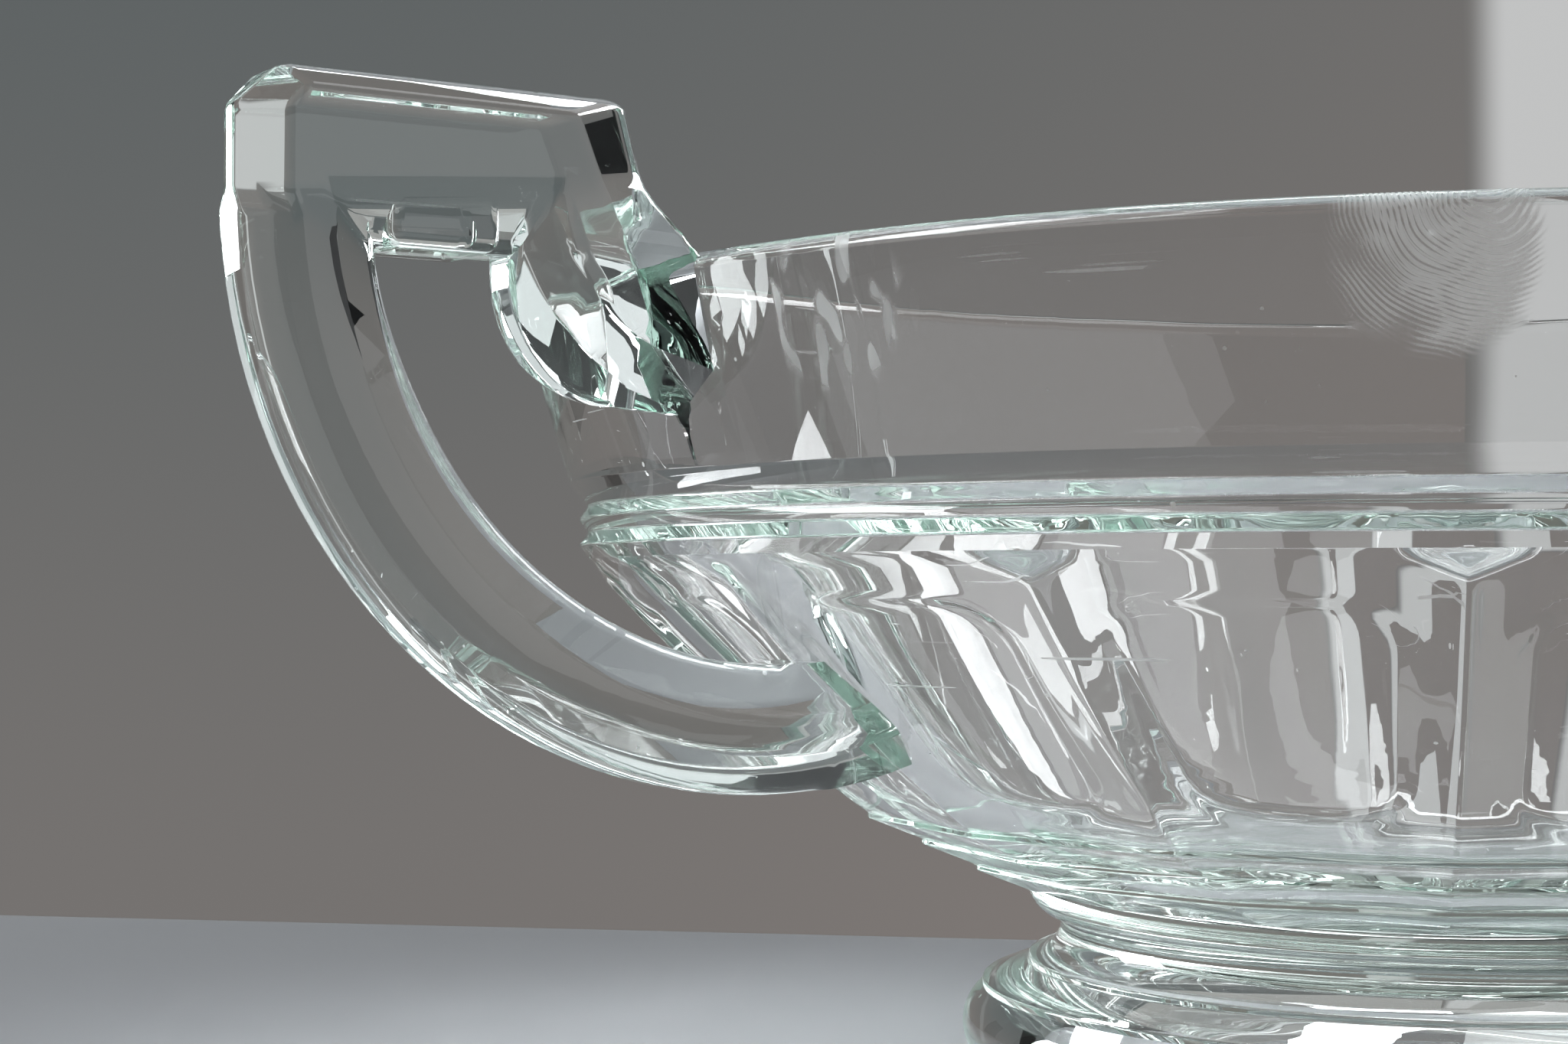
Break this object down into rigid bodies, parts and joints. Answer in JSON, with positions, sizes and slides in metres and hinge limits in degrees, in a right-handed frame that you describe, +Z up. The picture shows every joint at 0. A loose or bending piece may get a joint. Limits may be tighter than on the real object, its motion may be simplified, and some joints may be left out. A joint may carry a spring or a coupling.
{
  "type": "fruit bowl",
  "caption": "Round footed fruit bowl of clear pressed glass with a plain flaring band, bead rings, a flat-panelled wall and square-shouldered side handles.",
  "frame": {"origin": "centre of the foot's rest face, on the bowl's axis", "axes": "+X through the right handle, +Z up along the bowl's axis"},
  "size_m": [0.35, 0.25, 0.12],
  "materials": {
    "clear_glass": "clear, fire-polished pressed glass with a faint green tint in the thick parts"
  },
  "bodies": {
    "root": {"bowl": "clear_glass", "foot": "clear_glass", "handle_left": "clear_glass", "handle_right": "clear_glass"}
  },
  "joints": []
}
